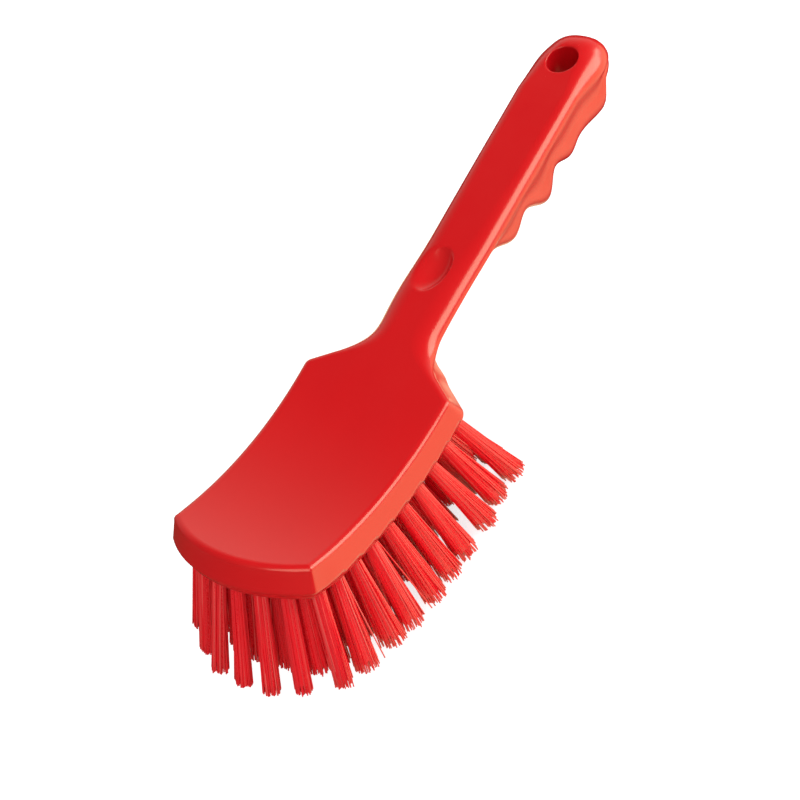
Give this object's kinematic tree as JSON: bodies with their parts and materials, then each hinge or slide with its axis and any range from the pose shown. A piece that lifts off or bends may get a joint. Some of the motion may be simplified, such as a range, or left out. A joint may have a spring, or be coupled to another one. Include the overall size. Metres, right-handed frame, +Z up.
{
  "type": "hand scrubbing brush",
  "caption": "Short-handled scrubbing brush: swept head with fanned tufts, grip with finger ridges, thumb dish and hanging hole.",
  "frame": {"origin": "middle of the bounding box, on the floor under the longest bristles", "axes": "+X along the level handle towards its end, +Z up, the brush mirrored about Y"},
  "size_m": [0.3008, 0.083, 0.0834],
  "materials": {
    "housing_plastic": "glossy red moulded polypropylene",
    "bristle_filament": "satin red polyester filament"
  },
  "bodies": {
    "root": {"brush_body": "housing_plastic", "tuft_column1_01": "bristle_filament", "tuft_column1_02": "bristle_filament", "tuft_column1_03": "bristle_filament", "tuft_column1_04": "bristle_filament", "tuft_column1_05": "bristle_filament", "tuft_column1_06": "bristle_filament", "tuft_column1_07": "bristle_filament", "tuft_column1_08": "bristle_filament", "tuft_column1_09": "bristle_filament", "tuft_column1_10": "bristle_filament", "tuft_column2_01": "bristle_filament", "tuft_column2_02": "bristle_filament", "tuft_column2_03": "bristle_filament", "tuft_column2_04": "bristle_filament", "tuft_column2_05": "bristle_filament", "tuft_column2_06": "bristle_filament", "tuft_column2_07": "bristle_filament", "tuft_column2_08": "bristle_filament", "tuft_column3_01": "bristle_filament", "tuft_column3_02": "bristle_filament", "tuft_column3_03": "bristle_filament", "tuft_column3_04": "bristle_filament", "tuft_column3_05": "bristle_filament", "tuft_column3_06": "bristle_filament", "tuft_column3_07": "bristle_filament", "tuft_column4_01": "bristle_filament", "tuft_column4_02": "bristle_filament", "tuft_column4_03": "bristle_filament", "tuft_column4_04": "bristle_filament", "tuft_column4_05": "bristle_filament", "tuft_column4_06": "bristle_filament", "tuft_column4_07": "bristle_filament", "tuft_column5_01": "bristle_filament", "tuft_column5_02": "bristle_filament", "tuft_column5_03": "bristle_filament", "tuft_column5_04": "bristle_filament", "tuft_column5_05": "bristle_filament", "tuft_column5_06": "bristle_filament", "tuft_column5_07": "bristle_filament", "tuft_column6_01": "bristle_filament", "tuft_column6_02": "bristle_filament", "tuft_column6_03": "bristle_filament", "tuft_column6_04": "bristle_filament", "tuft_column6_05": "bristle_filament", "tuft_column6_06": "bristle_filament", "tuft_column6_07": "bristle_filament", "tuft_column6_08": "bristle_filament", "tuft_column7_01": "bristle_filament", "tuft_column7_02": "bristle_filament", "tuft_column7_03": "bristle_filament", "tuft_column7_04": "bristle_filament", "tuft_column7_05": "bristle_filament", "tuft_column7_06": "bristle_filament", "tuft_column7_07": "bristle_filament", "tuft_column7_08": "bristle_filament", "tuft_column7_09": "bristle_filament", "tuft_column7_10": "bristle_filament"}
  },
  "joints": []
}
